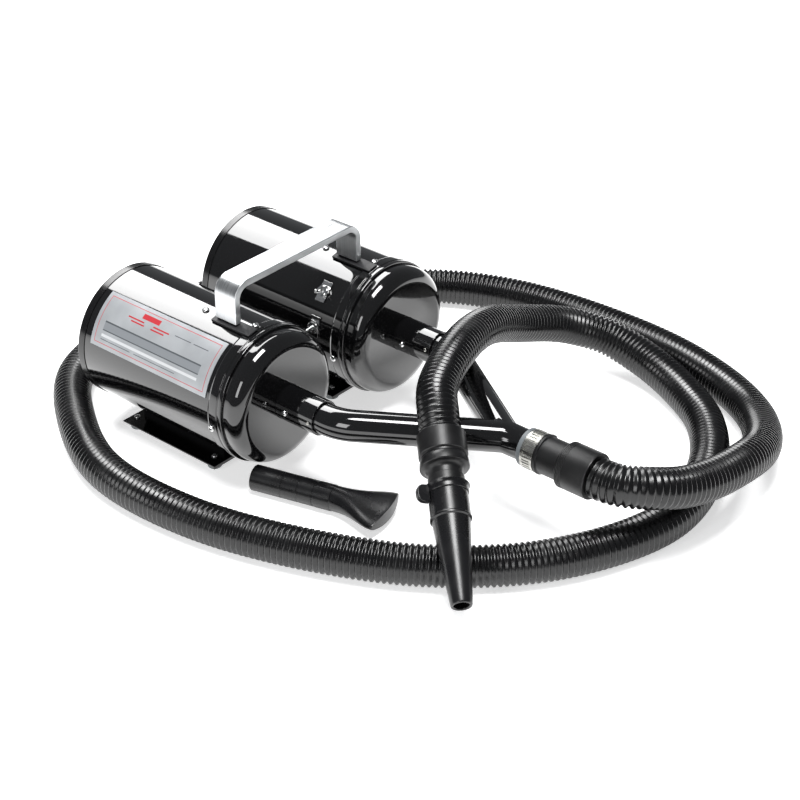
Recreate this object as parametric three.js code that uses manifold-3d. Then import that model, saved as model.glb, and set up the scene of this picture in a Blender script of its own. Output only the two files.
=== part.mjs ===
// Twin-motor blower that dries pets: two steel canisters side by side, each with its own
// motor, feed one Y-shaped pipe. A corrugated hose with a cone nozzle plugs onto the pipe,
// and a flat nozzle lies beside it. Millimetres; +Y is the rear, +Z is up, the floor is z = 0.
import * as THREE from 'three';
import { mergeVertices } from 'three/addons/utils/BufferGeometryUtils.js';
import Module from 'manifold-3d';

const wasm = await Module();
wasm.setup();

// ---------------------------------------------------------------- driving dimensions
const GAP = 0.3; // clearance between pieces that touch
const SHEET = 1.4; // steel sheet thickness
const CANISTER = { spacing: 189, height: 92, radius: 76, rear: 265, front: 44 };
const RIM = { radius: 76.8, length: 10.6, spigot: 10.5 }; // rear cap
const FLARE = 77.3; // radius of the hem and the bead at the tube's front
const FACE = { y: 20.5, edge: 16, skirt: 74.3 }; // domed front cap
const SLEEVE = { radius: 19.5, end: -31 };
const PIPE = { radius: 17, wall: 1.5, start: 12, bend: -51, junction: -196, end: -265 };
const MOTOR = { front: 115, fan: 66, fanLength: 48, frame: 47, rear: 232, wall: 1.5 };
const BASE = { half: 56.5, top: 12, sheet: 1.5, rear: 223, front: 85, hem: 6, rib: 30 };
const FOOT = { radius: 8, offset: 41.5, rows: [215.5, 93.7] };
const HANDLE = { width: 30.4, thick: 8, top: 218, bottom: 171, bend: 20, y: 89.1, shift: -14.4 };
const PAD = { thick: 3, from: 95.2, to: 105.8, front: 53, step: 62, rear: 108 };
const LABEL = { from: 118, to: 165, front: 67.5, rear: 244.5, thick: 0.6 };
const TOGGLES = [
  { name: 'upper', angle: 137, y: 89 },
  { name: 'lower', angle: 167, y: 87 },
];
const TOGGLE = { bush: 5.8, pivot: 79.2, tip: 93, tilt: 23 };
const BODY_SCREWS = [
  { name: 'top_rear', angle: 97.7, y: 127, seat: 76 },
  { name: 'top_front', angle: 92, y: 61, seat: FLARE },
  { name: 'side', angle: -171, y: 58, seat: FLARE },
];
const GLAND = { y: 228, angle: -60, neck: 7 };
const CONDUIT = { y: 228, drop: 22, radius: 6 };
const CUFF = { small: 20, large: 24.7, start: -232, step: -272, end: -309 };
const CLAMP = { radius: 20.3, front: -244, rear: -229, screwX: 26.4 };
const HOSE = { radius: 21.5, bore: 19, sides: 8, steps: 62 };
const ROUND = { canister: 28, pipe: 16, cuff: 18, small: 10, fastener: 8 }; // sides of turned forms
const NOZZLE = { start: [-65, -161.7, 121], tip: [-187, -290, 32], tabTurn: 12 };
const FLAT = { start: [-139.3, 29.5], heading: [0.275, -0.961], height: 14.6 };

// Hose centre line, from the pipe's cuff to the nozzle's cuff.
const HOSE_ROUTE = [
  [0, -309.3, 92], [0, -323, 92], [5, -340, 92], [22, -358, 89], [56, -373, 79], [106, -381, 68],
  [165, -382, 59], [215, -371, 45], [262, -347, 33], [302, -311, 25], [334, -258, 22],
  [358, -175, 22], [364, -60, 22], [350, 50, 22], [312, 137, 22], [236, 218, 22], [192, 277, 22],
  [138, 326, 22], [50, 354, 22], [-45, 352, 22], [-128, 325, 22], [-190, 256, 22], [-240, 155, 22],
  [-243, 30, 22], [-207, -103, 22], [-142, -224, 22], [-50, -310, 22], [70, -354, 22],
  [172, -334, 22], [250, -284, 22], [293, -222, 23], [313, -160, 30], [308, -110, 43],
  [275, -74, 60], [205, -60, 87], [125, -71, 122], [50, -94, 137], [-28, -128, 136],
];

// ---------------------------------------------------------------- finishes
const FINISH = {
  blackSteel: { color: 0x0b0b0c, roughness: 0.12, metalness: 0.1 },
  blackPlastic: { color: 0x19191b, roughness: 0.45, metalness: 0 },
  hosePlastic: { color: 0x1c1c1e, roughness: 0.5, metalness: 0 },
  aluminium: { color: 0xc4c7ca, roughness: 0.35, metalness: 1 },
  chrome: { color: 0xdadada, roughness: 0.12, metalness: 1 },
  stainless: { color: 0xb9b8b2, roughness: 0.28, metalness: 1 },
  rubber: { color: 0x8d9294, roughness: 0.8, metalness: 0 },
  blackRubber: { color: 0x202022, roughness: 0.8, metalness: 0 },
  foam: { color: 0x4a4d50, roughness: 0.95, metalness: 0 },
  castAluminium: { color: 0x9a9da0, roughness: 0.5, metalness: 1 },
  copper: { color: 0x9b5a33, roughness: 0.45, metalness: 1 },
  labelFilm: { color: 0xc9cbce, roughness: 0.35, metalness: 0.3 },
};

const dryer = new THREE.Group();

function addPiece(parent, name, geometry, finish) {
  const mesh = new THREE.Mesh(geometry, new THREE.MeshStandardMaterial(FINISH[finish]));
  mesh.name = name;
  parent.add(mesh);
  return mesh;
}

// ---------------------------------------------------------------- solids and booleans
function toSolid(geometry) {
  const bare = geometry.clone();
  bare.deleteAttribute('normal');
  bare.deleteAttribute('uv');
  const merged = mergeVertices(bare, 1e-4);
  const corners = merged.index.array;
  const triangles = [];
  for (let i = 0; i < corners.length; i += 3) {
    const triangle = [corners[i], corners[i + 1], corners[i + 2]];
    if (new Set(triangle).size === 3) triangles.push(...triangle);
  }
  return new wasm.Manifold(new wasm.Mesh({
    numProp: 3,
    vertProperties: new Float32Array(merged.attributes.position.array),
    triVerts: new Uint32Array(triangles),
  }));
}

function toGeometry(solid) {
  const mesh = solid.getMesh();
  const geometry = new THREE.BufferGeometry();
  geometry.setAttribute('position', new THREE.BufferAttribute(mesh.vertProperties, 3));
  geometry.setIndex(new THREE.BufferAttribute(mesh.triVerts, 1));
  return geometry;
}

function joined(...geometries) {
  const solids = geometries.map(toSolid);
  return toGeometry(solids.reduce((all, next) => all.add(next)));
}

function cut(geometry, ...cutters) {
  const solids = cutters.map(toSolid);
  return toGeometry(solids.reduce((rest, next) => rest.subtract(next), toSolid(geometry)));
}

// ---------------------------------------------------------------- basic forms
// A solid of revolution about Y from [radius, y] points that start and end on the axis,
// or that go round a ring's section. Points may run either way round.
function turned(outline, segments) {
  const onAxis = outline[0][0] === 0;
  let points = outline.map(([r, y]) => new THREE.Vector2(r, y));
  if (THREE.ShapeUtils.area(points) < 0) points.reverse();
  if (!onAxis) points = [...points, points[0].clone()];
  return new THREE.LatheGeometry(points, segments);
}

function ring(inner, outer, from, to, segments) {
  return turned([[inner, from], [outer, from], [outer, to], [inner, to]], segments);
}

// A flat outline in X and Z, as thick as the stretch of Y from front to rear.
function slab(shape, front, rear, curveSegments = 12) {
  const options = { depth: rear - front, bevelEnabled: false, curveSegments };
  const geometry = new THREE.ExtrudeGeometry(shape, options);
  geometry.rotateX(Math.PI / 2);
  geometry.translate(0, rear, 0);
  return geometry;
}

function box(x, y, z) {
  const geometry = new THREE.BoxGeometry(x[1] - x[0], y[1] - y[0], z[1] - z[0]);
  geometry.translate((x[0] + x[1]) / 2, (y[0] + y[1]) / 2, (z[0] + z[1]) / 2);
  return geometry;
}

// A curved plate that follows a canister, between two angles measured from +X towards +Z.
function saddle(inner, outer, fromDegrees, toDegrees, front, rear) {
  const [from, to] = [fromDegrees, toDegrees].map(THREE.MathUtils.degToRad);
  const shape = new THREE.Shape();
  shape.absarc(0, 0, outer, from, to, false);
  shape.absarc(0, 0, inner, to, from, true);
  return slab(shape, front, rear, 4);
}

// Turns a geometry made about +Z so that it points out of a canister's side at an angle.
function radial(geometry, degrees, y) {
  geometry.rotateY(Math.PI / 2 - THREE.MathUtils.degToRad(degrees));
  geometry.translate(0, y, 0);
  return geometry;
}

function peg(radius, from, to, segments = ROUND.small) {
  const geometry = new THREE.CylinderGeometry(radius, radius, to - from, segments);
  geometry.rotateX(Math.PI / 2);
  geometry.translate(0, 0, (from + to) / 2);
  return geometry;
}

function circleShape(radius, sides) {
  const corner = (k) => (2 * Math.PI * k) / sides;
  const ordinals = Array.from({ length: sides }, (_, k) => k);
  return new THREE.Shape(ordinals.map((k) => new THREE.Vector2(
    radius * Math.cos(corner(k)), radius * Math.sin(corner(k)),
  )));
}

function swept(path, radius, sides, steps, bore = 0) {
  const section = circleShape(radius, sides);
  if (bore) section.holes.push(circleShape(bore, sides));
  return new THREE.ExtrudeGeometry(section, { extrudePath: path, steps, bevelEnabled: false });
}

// A pan-head screw along +Z: the head's underside is at seat + GAP, the shank runs inwards.
function panScrew(head, shank, seat, depth) {
  const under = seat + GAP;
  const geometry = turned([
    [0, under - depth], [shank, under - depth], [shank, under], [head, under],
    [head, under + head * 0.3], [head * 0.62, under + head * 0.6], [0, under + head * 0.66],
  ], ROUND.fastener);
  geometry.rotateX(Math.PI / 2);
  return geometry;
}

// ---------------------------------------------------------------- canister pieces
function bodyTube(side) {
  const { radius, front, rear } = CANISTER;
  const inner = radius - SHEET;
  const end = rear - RIM.length - GAP;
  const tube = turned([
    [inner, front], [75.6, front], [76.8, 45], [FLARE, 46.5], [76.8, 48], [radius, 49],
    [radius, 52], [FLARE, 54], [FLARE, 59], [radius, 61.5], [radius, end], [inner, end],
  ], ROUND.canister);
  const holes = BODY_SCREWS.map((screw) => radial(peg(2.2, 70, 80, ROUND.fastener), screw.angle, screw.y));
  const conduit = peg(CONDUIT.radius + GAP, 60, 90);
  conduit.rotateY(-side * Math.PI / 2);
  conduit.translate(0, CONDUIT.y, -CONDUIT.drop);
  holes.push(conduit);
  if (side > 0) {
    for (const toggle of TOGGLES) {
      holes.push(radial(peg(TOGGLE.bush + GAP, 60, 90), toggle.angle, toggle.y));
    }
    holes.push(radial(peg(GLAND.neck + GAP, 60, 90), GLAND.angle, GLAND.y));
  }
  return cut(tube, ...holes);
}

function rearCap() {
  const inside = RIM.radius - 4;
  const shoulder = CANISTER.rear - RIM.length;
  const plateFront = CANISTER.rear - 2.5;
  const spigot = CANISTER.radius - SHEET - GAP;
  const rim = turned([
    [inside - 1, shoulder - RIM.spigot], [spigot, shoulder - RIM.spigot], [spigot, shoulder],
    [RIM.radius, shoulder], [RIM.radius, CANISTER.rear - 1.5], [RIM.radius - 1.5, CANISTER.rear],
    [inside - 1, CANISTER.rear],
  ], ROUND.canister);
  const grille = new THREE.Shape();
  grille.absarc(0, 0, inside, 0, 2 * Math.PI, false);
  for (let row = -5; row <= 5; row += 1) {
    const z = row * 11;
    const reach = Math.sqrt(62 ** 2 - z ** 2);
    const slot = new THREE.Path();
    slot.moveTo(-reach, z - 1.8);
    slot.lineTo(-reach, z + 1.8);
    slot.lineTo(reach, z + 1.8);
    slot.lineTo(reach, z - 1.8);
    slot.closePath();
    grille.holes.push(slot);
  }
  return joined(rim, slab(grille, plateFront, CANISTER.rear, ROUND.canister / 2));
}

function filterDisc() {
  const front = CANISTER.rear - RIM.length - RIM.spigot + 3;
  const rear = CANISTER.rear - 2.5 - GAP;
  return turned([[0, front], [71, front], [71, rear], [0, rear]], ROUND.cuff);
}

// The cap is a shallow dome: a skirt inside the tube, a rounded edge and a flat face.
function frontCap() {
  const { y, edge, skirt } = FACE;
  const outer = [[skirt, CANISTER.front + 12], [skirt, y + edge]];
  const inner = [[skirt - SHEET, CANISTER.front + 12], [skirt - SHEET, y + edge]];
  for (let k = 1; k <= 3; k += 1) {
    const turn = (k / 3) * (Math.PI / 2);
    const [across, along] = [Math.cos(turn), Math.sin(turn)];
    outer.push([skirt - edge + edge * across, y + edge - edge * along]);
    inner.push([skirt - edge + (edge - SHEET) * across, y + edge - (edge - SHEET) * along]);
  }
  const hole = SLEEVE.radius + GAP;
  return turned([...outer, [hole, y], [hole, y + SHEET], ...inner.reverse()], ROUND.canister);
}

function outletSleeve(side) {
  const bore = PIPE.radius + GAP;
  const flange = FACE.y + SHEET + GAP;
  const sleeve = turned([
    [bore, SLEEVE.end], [SLEEVE.radius, SLEEVE.end], [SLEEVE.radius, flange], [27, flange],
    [27, flange + 2], [bore, flange + 2],
  ], ROUND.cuff);
  return cut(sleeve, ...sleeveHoles(side));
}

function rivetAngle(side) {
  return side > 0 ? 165 : 176;
}

function sleeveHoles(side) {
  const screwHole = peg(1.7, 12, 24, ROUND.fastener);
  const rivetHole = peg(1.3, 12, 24, ROUND.fastener);
  return [radial(screwHole, 180, 7), radial(rivetHole, rivetAngle(side), -26)];
}

function motorHousing() {
  const { front, fan, fanLength, frame, rear, wall } = MOTOR;
  const step = front + fanLength;
  return turned([
    [22, front], [fan, front], [fan, step], [frame, step], [frame, rear], [20, rear],
    [20, rear - wall], [frame - wall, rear - wall], [frame - wall, step - wall],
    [fan - wall, step - wall], [fan - wall, front + wall], [22, front + wall],
  ], ROUND.cuff);
}

// Shaft with two fan discs, the wound armature and the commutator.
function motorRotor() {
  const start = MOTOR.front + 3;
  const discs = [[start + 8, 60, 6], [start + 26, 60, 6], [start + 56, 27, 34], [start + 94, 12, 9]];
  const outline = [[0, start], [4, start]];
  for (const [y, radius, length] of discs) {
    outline.push([4, y], [radius, y], [radius, y + length], [4, y + length]);
  }
  outline.push([4, MOTOR.rear - 6], [0, MOTOR.rear - 6]);
  return turned(outline, ROUND.small);
}

function motorMount() {
  const outside = CANISTER.radius - SHEET - 2 * GAP;
  return ring(MOTOR.fan + 2 * GAP, outside, MOTOR.front + 16, MOTOR.front + 28, ROUND.canister);
}

// Folded sheet under a canister: a flat plate, a lip along the front and two cradle ribs.
function basePlate() {
  const { half, top, sheet, rear, front, hem, rib } = BASE;
  const under = top - sheet;
  const ribTop = CANISTER.height - Math.sqrt(CANISTER.radius ** 2 - rib ** 2) - GAP;
  const plate = box([-half, half], [front, rear], [under, top]);
  const lipShape = new THREE.Shape();
  lipShape.moveTo(-half, under - 2.2);
  lipShape.lineTo(half, under - 2.2);
  lipShape.lineTo(half, top);
  lipShape.lineTo(-half, top);
  const lip = slab(lipShape, front - hem, front - hem + sheet);
  const tread = box([-half, half], [front - hem, front + 1], [under, top]);
  const ribs = [-1, 1].map((s) => {
    const inside = s * rib;
    const outside = s * (rib - sheet);
    return box(
      [Math.min(inside, outside), Math.max(inside, outside)],
      [front + 6, rear - 6],
      [under + 0.2, ribTop - 0.6],
    );
  });
  const holes = footSpots().map(([x, y]) => {
    const hole = peg(2.3, under - 5, top + 5, ROUND.fastener);
    hole.translate(x, y, 0);
    return hole;
  });
  return cut(joined(plate, tread, lip, ...ribs), ...holes);
}

function footSpots() {
  return FOOT.rows.flatMap((y) => [-FOOT.offset, FOOT.offset].map((x) => [x, y]));
}

// Rubber foot with its screw: the screw's neck passes through the plate.
function foot() {
  const under = BASE.top - BASE.sheet - GAP;
  const over = BASE.top + GAP;
  const geometry = turned([
    [0, 0], [FOOT.radius, 0], [FOOT.radius, under], [2, under], [2, over],
    [3.6, over], [3.2, over + 1.6], [0, over + 2],
  ], ROUND.fastener);
  geometry.rotateX(Math.PI / 2);
  return geometry;
}

function addCanister(side) {
  const label = side < 0 ? 'left' : 'right';
  const canister = new THREE.Group();
  canister.position.set((side * CANISTER.spacing) / 2, 0, CANISTER.height);
  const add = (name, geometry, finish) => addPiece(canister, `${name}_${label}`, geometry, finish);
  add('body_tube', bodyTube(side), 'blackSteel');
  add('rear_cap', rearCap(), 'blackPlastic');
  add('filter', filterDisc(), 'foam');
  add('front_cap', frontCap(), 'blackSteel');
  add('outlet_sleeve', outletSleeve(side), 'blackSteel');
  add('motor_housing', motorHousing(), 'castAluminium');
  add('motor_rotor', motorRotor(), 'copper');
  add('motor_mount', motorMount(), 'blackRubber');
  add('sleeve_screw', radial(panScrew(3.4, 1.4, SLEEVE.radius, 5.5), 180, 7), 'chrome');
  add('sleeve_rivet', radial(panScrew(2.2, 1, SLEEVE.radius, 5), rivetAngle(side), -26), 'stainless');
  for (const { name, angle, y, seat } of BODY_SCREWS) {
    add(`screw_${name}`, radial(panScrew(3.8, 1.8, seat, 6), angle, y), 'chrome');
  }
  dryer.add(canister);

  const stand = new THREE.Group();
  stand.position.x = canister.position.x;
  addPiece(stand, `base_plate_${label}`, basePlate(), 'blackSteel');
  footSpots().forEach(([x, y], k) => {
    const outer = Math.sign(x) === side ? 'outer' : 'inner';
    const row = k < 2 ? 'rear' : 'front';
    const mesh = addPiece(stand, `foot_${row}_${outer}_${label}`, foot(), 'rubber');
    mesh.position.set(x, y, 0);
  });
  dryer.add(stand);
  return canister;
}

// ---------------------------------------------------------------- switches and wiring
function switchBody() {
  const crate = box([-7, 7], [-14, 14], [54, 72]);
  const bush = peg(TOGGLE.bush, 71, 81);
  const nut = peg(8.2, CANISTER.radius + 1 + 2 * GAP, 79.8, 6);
  const bore = peg(3.6, TOGGLE.pivot - 2.5, 85);
  return cut(joined(crate, bush, nut), bore);
}

function switchPlate() {
  const plate = box([-12, 12], [-6.5, 6.5], [CANISTER.radius + GAP, CANISTER.radius + GAP + 1]);
  return cut(plate, peg(TOGGLE.bush + GAP, 70, 85));
}

// A ball in the bush and a rod that thickens to a rounded tip, tilted about the ball.
function toggleLever() {
  const length = TOGGLE.tip - TOGGLE.pivot;
  const lever = turned([
    [0, -2.2], [1.6, -1.5], [2.2, 0], [1.6, 1.5], [1.3, 2.2], [2.3, length - 2.5],
    [1.8, length - 0.7], [0, length],
  ], ROUND.small);
  lever.rotateX(Math.PI / 2);
  lever.rotateY(THREE.MathUtils.degToRad(-TOGGLE.tilt));
  lever.translate(0, 0, TOGGLE.pivot);
  return lever;
}

function addSwitches(canister) {
  for (const { name, angle, y } of TOGGLES) {
    addPiece(canister, `switch_body_${name}`, radial(switchBody(), angle, y), 'chrome');
    addPiece(canister, `switch_plate_${name}`, radial(switchPlate(), angle, y), 'chrome');
    addPiece(canister, `toggle_lever_${name}`, radial(toggleLever(), angle, y), 'chrome');
  }
}

// The mains lead enters through a rubber gland low on the right canister, and the wires to
// the left motor pass through a short sleeve between the canisters.
function addWiring(canister) {
  const wall = CANISTER.radius;
  const gland = turned([
    [3.6, wall - 4.2], [9, wall - 4.2], [9, wall - 2.6], [GLAND.neck, wall - 2.6],
    [GLAND.neck, wall + GAP], [9, wall + GAP], [9, wall + 3], [5.5, wall + 12], [3.6, wall + 12],
  ], ROUND.small);
  gland.rotateX(Math.PI / 2);
  addPiece(canister, 'cord_gland', radial(gland, GLAND.angle, GLAND.y), 'blackRubber');

  const r = CONDUIT.radius;
  const sleeve = turned([
    [r - 2, -25], [r, -25], [r, -19.2], [8.5, -19.2], [8.5, -17], [r, -17], [r, 17], [8.5, 17],
    [8.5, 19.2], [r, 19.2], [r, 25], [r - 2, 25],
  ], ROUND.small);
  sleeve.rotateZ(Math.PI / 2);
  sleeve.translate(0, CONDUIT.y, CANISTER.height - CONDUIT.drop);
  addPiece(dryer, 'wire_conduit', sleeve, 'blackRubber');
}

// ---------------------------------------------------------------- handle and label
function handleBar() {
  const { thick, top, bottom, bend, shift, width, y } = HANDLE;
  const left = -CANISTER.spacing / 2 + shift - thick / 2;
  const right = CANISTER.spacing / 2 + shift + thick / 2;
  const shape = new THREE.Shape();
  shape.moveTo(left, bottom);
  shape.lineTo(left + thick, bottom);
  shape.absarc(left + bend, top - bend, bend - thick, Math.PI, Math.PI / 2, true);
  shape.absarc(right - bend, top - bend, bend - thick, Math.PI / 2, 0, true);
  shape.lineTo(right - thick, bottom);
  shape.lineTo(right, bottom);
  shape.absarc(right - bend, top - bend, bend, 0, Math.PI / 2, false);
  shape.absarc(left + bend, top - bend, bend, Math.PI / 2, Math.PI, false);
  return slab(shape, y - width / 2, y + width / 2, 6);
}

function addHandle(canisters) {
  addPiece(dryer, 'handle', handleBar(), 'aluminium');
  const inner = CANISTER.radius + GAP;
  canisters.forEach((canister, k) => {
    const top = inner + PAD.thick;
    const pad = joined(
      saddle(inner, top, PAD.from, PAD.to, PAD.step, PAD.rear),
      saddle(FLARE + GAP, top, PAD.from, PAD.to, PAD.front, PAD.step + 1),
    );
    addPiece(canister, `handle_pad_${k ? 'right' : 'left'}`, pad, 'blackRubber');
  });
}

function labelPlate() {
  const inner = CANISTER.radius + GAP;
  return saddle(inner, inner + LABEL.thick, LABEL.from, LABEL.to, LABEL.front, LABEL.rear);
}

// ---------------------------------------------------------------- Y pipe, clamp and cuff
// One arm runs forwards out of its sleeve, bends inwards and meets the other on the middle.
function arm(side, radius, extra) {
  const x = (side * CANISTER.spacing) / 2;
  const bend = 18; // how far each straight stops short of the bend's corner
  const overlap = 0.5; // how far neighbouring stretches run into each other
  const at = (px, py) => new THREE.Vector3(px, py, CANISTER.height);
  const slant = at(-x, PIPE.junction - PIPE.bend).setZ(0).normalize();
  const corner = at(x, PIPE.bend);
  const enter = at(x, PIPE.bend + bend);
  const leave = corner.clone().addScaledVector(slant, bend);
  const straight = new THREE.LineCurve3(at(x, PIPE.start + extra), at(x, enter.y - overlap));
  const turn = new THREE.QuadraticBezierCurve3(enter, corner, leave);
  const rest = new THREE.LineCurve3(leave.clone().addScaledVector(slant, -overlap), at(0, PIPE.junction));
  return joined(
    swept(straight, radius, ROUND.pipe, 1),
    swept(turn, radius, ROUND.pipe, 4),
    swept(rest, radius, ROUND.pipe, 1),
  );
}

function yManifold() {
  const line = (from, to) => new THREE.LineCurve3(
    new THREE.Vector3(0, from, CANISTER.height), new THREE.Vector3(0, to, CANISTER.height),
  );
  const branch = (radius, extra) => joined(
    arm(-1, radius, extra),
    arm(1, radius, extra),
    swept(line(PIPE.junction + 12, PIPE.end - extra), radius, ROUND.pipe, 1),
  );
  const pipe = cut(branch(PIPE.radius, 0), branch(PIPE.radius - PIPE.wall, 2));
  const holes = [-1, 1].flatMap((side) => sleeveHoles(side).map((hole) => {
    hole.translate((side * CANISTER.spacing) / 2, 0, CANISTER.height);
    return hole;
  }));
  return cut(pipe, ...holes);
}

// A stainless band with its screw housing on the right; the screw stands upright in it.
function clampBand() {
  const { radius, front, rear, screwX } = CLAMP;
  const middle = (front + rear) / 2;
  const band = ring(radius, radius + 0.9, front, rear, ROUND.cuff);
  const housing = box([10, screwX + 5.6], [front + 1.5, rear - 1.5], [-15, -1]);
  const inside = turned([[0, front - 5], [radius, front - 5], [radius, rear + 5], [0, rear + 5]], ROUND.cuff);
  const bore = peg(3.4 + GAP, -30, 10);
  bore.translate(screwX, middle, 0);
  return cut(joined(band, housing), inside, bore);
}

function clampScrew() {
  const screw = turned([
    [0, -17], [3.4, -17], [3.4, -0.5], [4.2, -0.5], [4.2, 4], [3, 5], [0, 5],
  ], 6);
  screw.rotateX(Math.PI / 2);
  screw.translate(CLAMP.screwX, (CLAMP.front + CLAMP.rear) / 2, 0);
  return screw;
}

function machineCuff() {
  const { small, large, start, step, end } = CUFF;
  const bore = PIPE.radius + GAP;
  return turned([
    [bore, start], [small, start], [small, -245], [21.6, -245.6], [21.6, -247.8], [small, -248.4],
    [small, step], [small + 1, step], [large, step - 3], [large, end], [12, end],
    [12, PIPE.end - GAP], [bore, PIPE.end - GAP],
  ], ROUND.cuff);
}

function addOutlet() {
  addPiece(dryer, 'y_manifold', yManifold(), 'blackSteel');
  const outlet = new THREE.Group();
  outlet.position.z = CANISTER.height;
  addPiece(outlet, 'seal_ring', ring(PIPE.radius + GAP, 20.5, -228.6, -223.6, ROUND.cuff), 'rubber');
  addPiece(outlet, 'hose_clamp_band', clampBand(), 'stainless');
  addPiece(outlet, 'clamp_screw', clampScrew(), 'stainless');
  addPiece(outlet, 'machine_cuff', machineCuff(), 'blackPlastic');
  dryer.add(outlet);
}

// ---------------------------------------------------------------- hose and cone nozzle
function hoseTube() {
  const points = HOSE_ROUTE.map((p) => new THREE.Vector3(...p));
  const [start, tip] = [NOZZLE.start, NOZZLE.tip].map((p) => new THREE.Vector3(...p));
  const heading = tip.clone().sub(start).normalize();
  points.push(start.clone().addScaledVector(heading, 10 - 28));
  points.push(start.clone().addScaledVector(heading, 10 - GAP));
  const path = new THREE.CatmullRomCurve3(points, false, 'centripetal');
  return swept(path, HOSE.radius, HOSE.sides, HOSE.steps, HOSE.bore);
}

// Everything on the nozzle is turned about one slanted line; distances run along it.
function addNozzle() {
  const [start, tip] = [NOZZLE.start, NOZZLE.tip].map((p) => new THREE.Vector3(...p));
  const nozzle = new THREE.Group();
  nozzle.position.copy(start);
  const heading = tip.clone().sub(start).normalize();
  nozzle.quaternion.setFromUnitVectors(new THREE.Vector3(0, 1, 0), heading);
  const cuff = turned([
    [12, 10], [25, 10], [25, 46], [19, 52], [17.5, 52], [17.5, 59], [18.5, 59], [18.5, 68.7],
    [12, 68.7],
  ], ROUND.cuff);
  addPiece(nozzle, 'nozzle_cuff', cuff, 'blackPlastic');
  const tab = box([-3.5, 3.5], [69, 87], [20.5, 34]);
  tab.rotateY(THREE.MathUtils.degToRad(NOZZLE.tabTurn));
  const collar = joined(ring(15, 21, 69, 77.7, ROUND.cuff), tab);
  addPiece(nozzle, 'locking_collar', collar, 'blackPlastic');
  const cone = turned([
    [13.5, 78], [20, 78], [20, 103], [20.8, 104], [20.8, 106], [19, 107], [11, 196], [10, 198],
    [7.6, 198], [7.6, 190], [16, 112], [13.5, 108],
  ], ROUND.cuff);
  addPiece(nozzle, 'cone_nozzle', cone, 'blackPlastic');
  dryer.add(nozzle);
}

// ---------------------------------------------------------------- flat nozzle
// A round socket that fans out into a wide slot, lying flat on the floor.
function flatNozzle() {
  const barrel = ring(11.5, 14.3, 0, 100, ROUND.cuff);
  const fan = (spread, socket, thick, from, to) => {
    const sections = [
      [from, socket, socket], [110, spread[0], thick[0]], [146, spread[1], thick[1]],
      [to, spread[2], thick[1]],
    ];
    return lofted(sections, ROUND.cuff);
  };
  const outer = fan([17, 34.5, 34.5], 14.3, [13, 6.6], 90, 156);
  const inner = fan([14, 32, 32.5], 11.5, [10.5, 4.4], 89, 160);
  return cut(joined(barrel, outer), inner);
}

// Joins flattened round sections [y, half width in X, half height in Z] into one solid.
function lofted(sections, sides) {
  const vertices = [];
  const triangles = [];
  sections.forEach(([y, halfX, halfZ]) => {
    for (let k = 0; k < sides; k += 1) {
      const turn = (2 * Math.PI * k) / sides;
      vertices.push(halfX * Math.cos(turn), y, halfZ * Math.sin(turn));
    }
  });
  const last = (sections.length - 1) * sides;
  for (let k = 0; k < sides; k += 1) {
    const next = (k + 1) % sides;
    for (let row = 0; row < last; row += sides) {
      triangles.push(row + k, row + sides + k, row + next);
      triangles.push(row + next, row + sides + k, row + sides + next);
    }
    if (k > 0 && k < sides - 1) {
      triangles.push(0, k, k + 1);
      triangles.push(last, last + k + 1, last + k);
    }
  }
  const geometry = new THREE.BufferGeometry();
  geometry.setAttribute('position', new THREE.Float32BufferAttribute(vertices, 3));
  geometry.setIndex(triangles);
  return geometry;
}

function addFlatNozzle() {
  const [x, y] = FLAT.start;
  const mesh = addPiece(dryer, 'flat_nozzle', flatNozzle(), 'blackPlastic');
  mesh.position.set(x, y, FLAT.height);
  mesh.rotation.z = Math.atan2(FLAT.heading[1], FLAT.heading[0]) - Math.PI / 2;
}

// ---------------------------------------------------------------- assembly
const canisters = [-1, 1].map(addCanister);
addSwitches(canisters[1]);
addWiring(canisters[1]);
addHandle(canisters);
addPiece(canisters[0], 'label_plate', labelPlate(), 'labelFilm');
addOutlet();
addPiece(dryer, 'hose', hoseTube(), 'hosePlastic');
addNozzle();
addFlatNozzle();

export default dryer;
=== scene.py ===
# %% [markdown]
# # A twin-motor blower that dries pets
# Two gloss-black steel canisters stand side by side on folded feet plates. Each holds a motor
# and blows into one arm of a Y-shaped pipe. A corrugated hose is clamped to the pipe, runs once
# round the machine, and ends in a cone nozzle. A flat nozzle lies beside the machine.
# The measured model comes in first and is never moved. Everything made here fits round it.

# %% The measured model
import math
import bmesh
import bpy
import numpy as np
from mathutils import Matrix, Vector


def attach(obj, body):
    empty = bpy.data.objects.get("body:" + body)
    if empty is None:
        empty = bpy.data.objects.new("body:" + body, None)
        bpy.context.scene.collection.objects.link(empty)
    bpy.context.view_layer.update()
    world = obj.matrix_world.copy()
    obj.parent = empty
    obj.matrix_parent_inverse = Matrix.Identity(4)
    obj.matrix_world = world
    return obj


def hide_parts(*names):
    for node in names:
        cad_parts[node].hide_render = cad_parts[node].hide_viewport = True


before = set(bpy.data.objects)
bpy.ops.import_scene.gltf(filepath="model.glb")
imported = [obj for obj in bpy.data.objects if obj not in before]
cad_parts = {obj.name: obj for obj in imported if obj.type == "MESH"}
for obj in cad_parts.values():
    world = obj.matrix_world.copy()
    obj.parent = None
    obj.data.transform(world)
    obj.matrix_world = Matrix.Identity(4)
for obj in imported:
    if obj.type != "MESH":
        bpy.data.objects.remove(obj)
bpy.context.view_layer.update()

MM = 0.001
scene = bpy.context.scene
print("measured pieces:", len(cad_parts))

# %% [markdown]
# ## Camera
# The product is seen from its front left, about 32 degrees above the floor, with a long lens so
# that the canisters keep their shape. A camera looks along its own -Z, so its turn about X is
# 90 degrees less the height angle.

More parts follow.
